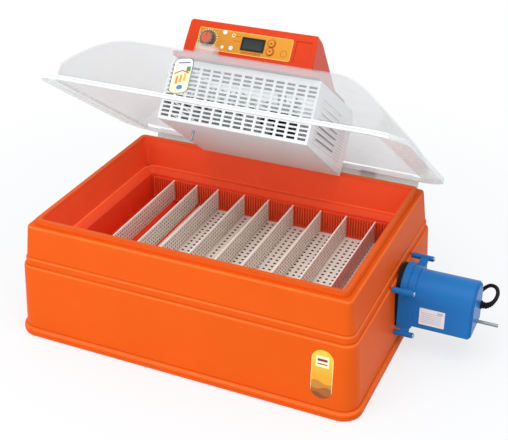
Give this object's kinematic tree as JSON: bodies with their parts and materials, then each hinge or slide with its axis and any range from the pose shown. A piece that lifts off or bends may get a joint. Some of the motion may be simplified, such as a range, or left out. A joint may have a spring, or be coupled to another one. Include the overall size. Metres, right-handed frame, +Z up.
{
  "type": "egg incubator",
  "caption": "Table-top egg incubator: double-walled base with lane dividers over a sliding egg floor, side turning drive and clear hinged dome with control unit",
  "frame": {"origin": "middle of the flat underside of the base", "axes": "X to the right along the long side, Y to the back where the hinges are, Z up"},
  "size_m": [0.8795, 0.6169, 0.5568],
  "materials": {
    "case_orange": "moulded, satin",
    "tub_red": "moulded, satin",
    "divider_cream": "moulded",
    "lid_clear": "clear, lightly frosted",
    "drive_blue": "moulded, satin",
    "black_rubber": "matt",
    "black_plastic": "moulded",
    "steel": "drawn",
    "white_plastic": "moulded",
    "panel_amber": "printed film",
    "display_dark": "dark window",
    "label_white": "film",
    "label_amber": "film",
    "board_green": "laminate",
    "motor_grey": "satin"
  },
  "bodies": {
    "base": {"outer_case": "case_orange", "inner_tub": "tub_red", "comb_front": "tub_red", "comb_back": "tub_red", "divider_1": "divider_cream", "divider_2": "divider_cream", "divider_3": "divider_cream", "divider_4": "divider_cream", "divider_5": "divider_cream", "divider_6": "divider_cream", "divider_7": "divider_cream", "divider_8": "divider_cream", "divider_9": "divider_cream", "hinge_bracket_left": "steel", "hinge_bracket_right": "steel", "hinge_pin_left": "steel", "hinge_pin_right": "steel", "hinge_screws": "steel", "front_label": "label_amber", "turner_gasket": "black_rubber", "turner_housing": "drive_blue", "turner_screws": "steel", "turner_gearmotor": "motor_grey", "motor_label": "label_white", "cord_gland": "black_rubber", "motor_cord": "black_rubber", "cord_coil": "black_rubber", "cord_tie": "black_plastic", "mains_plug": "black_plastic"},
    "lid": {"lid_shell": "lid_clear", "lid_label": "label_white", "filler_hopper": "lid_clear", "control_housing": "case_orange", "panel_overlay": "panel_amber", "display_window": "display_dark", "indicator_lamps": "white_plastic", "circuit_board": "board_green", "control_screws": "steel", "power_inlet": "black_plastic", "grille_box": "white_plastic", "fan_motor": "motor_grey", "heater_element": "motor_grey", "temperature_probe": "steel", "hinge_arm_left": "steel", "hinge_arm_right": "steel"},
    "egg_floor": {"floor_grid": "divider_cream", "floor_tab": "divider_cream", "drive_bracket": "divider_cream", "push_rod": "steel"},
    "pinion": {"drive_pinion": "white_plastic"},
    "fan": {"fan_impeller": "black_plastic"},
    "dial": {"dial_knob": "black_plastic"},
    "button_up": {"button_up": "panel_amber"},
    "button_down": {"button_down": "panel_amber"}
  },
  "joints": [
    {"name": "lid_hinge", "type": "hinge", "parent": "base", "child": "lid", "pos_m": [0, 0.232, 0.182], "axis": [-1, 0, 0], "range_deg": [-35.4, 52.1]},
    {"name": "floor_slide", "type": "slide", "parent": "base", "child": "egg_floor", "axis": [1, 0, 0], "range_m": [-0.035, 0]},
    {"name": "pinion_turn", "type": "hinge", "parent": "base", "child": "pinion", "pos_m": [0.426, 0.042, 0.0925], "axis": [0, 1, 0], "range_deg": [-3, 171]},
    {"name": "fan_spin", "type": "hinge", "parent": "lid", "child": "fan", "pos_m": [0.084, 0.04364, 0.42077], "axis": [0, -0.8141, 0.5807], "continuous": true},
    {"name": "dial_turn", "type": "hinge", "parent": "lid", "child": "dial", "pos_m": [-0.085, 0.08819, 0.53024], "axis": [0, -0.8141, 0.5807], "range_deg": [-135, 135]},
    {"name": "button_up_press", "type": "slide", "parent": "lid", "child": "button_up", "axis": [0, 0.8141, -0.5807], "range_m": [0, 0.0012], "stiffness_N_per_m": 400, "springref_m": -0.001},
    {"name": "button_down_press", "type": "slide", "parent": "lid", "child": "button_down", "axis": [0, 0.8141, -0.5807], "range_m": [0, 0.0012], "stiffness_N_per_m": 400, "springref_m": -0.001}
  ],
  "couplings": [
    {"joint": "pinion_turn", "follows": "floor_slide", "rad_per_m": -83.333}
  ]
}
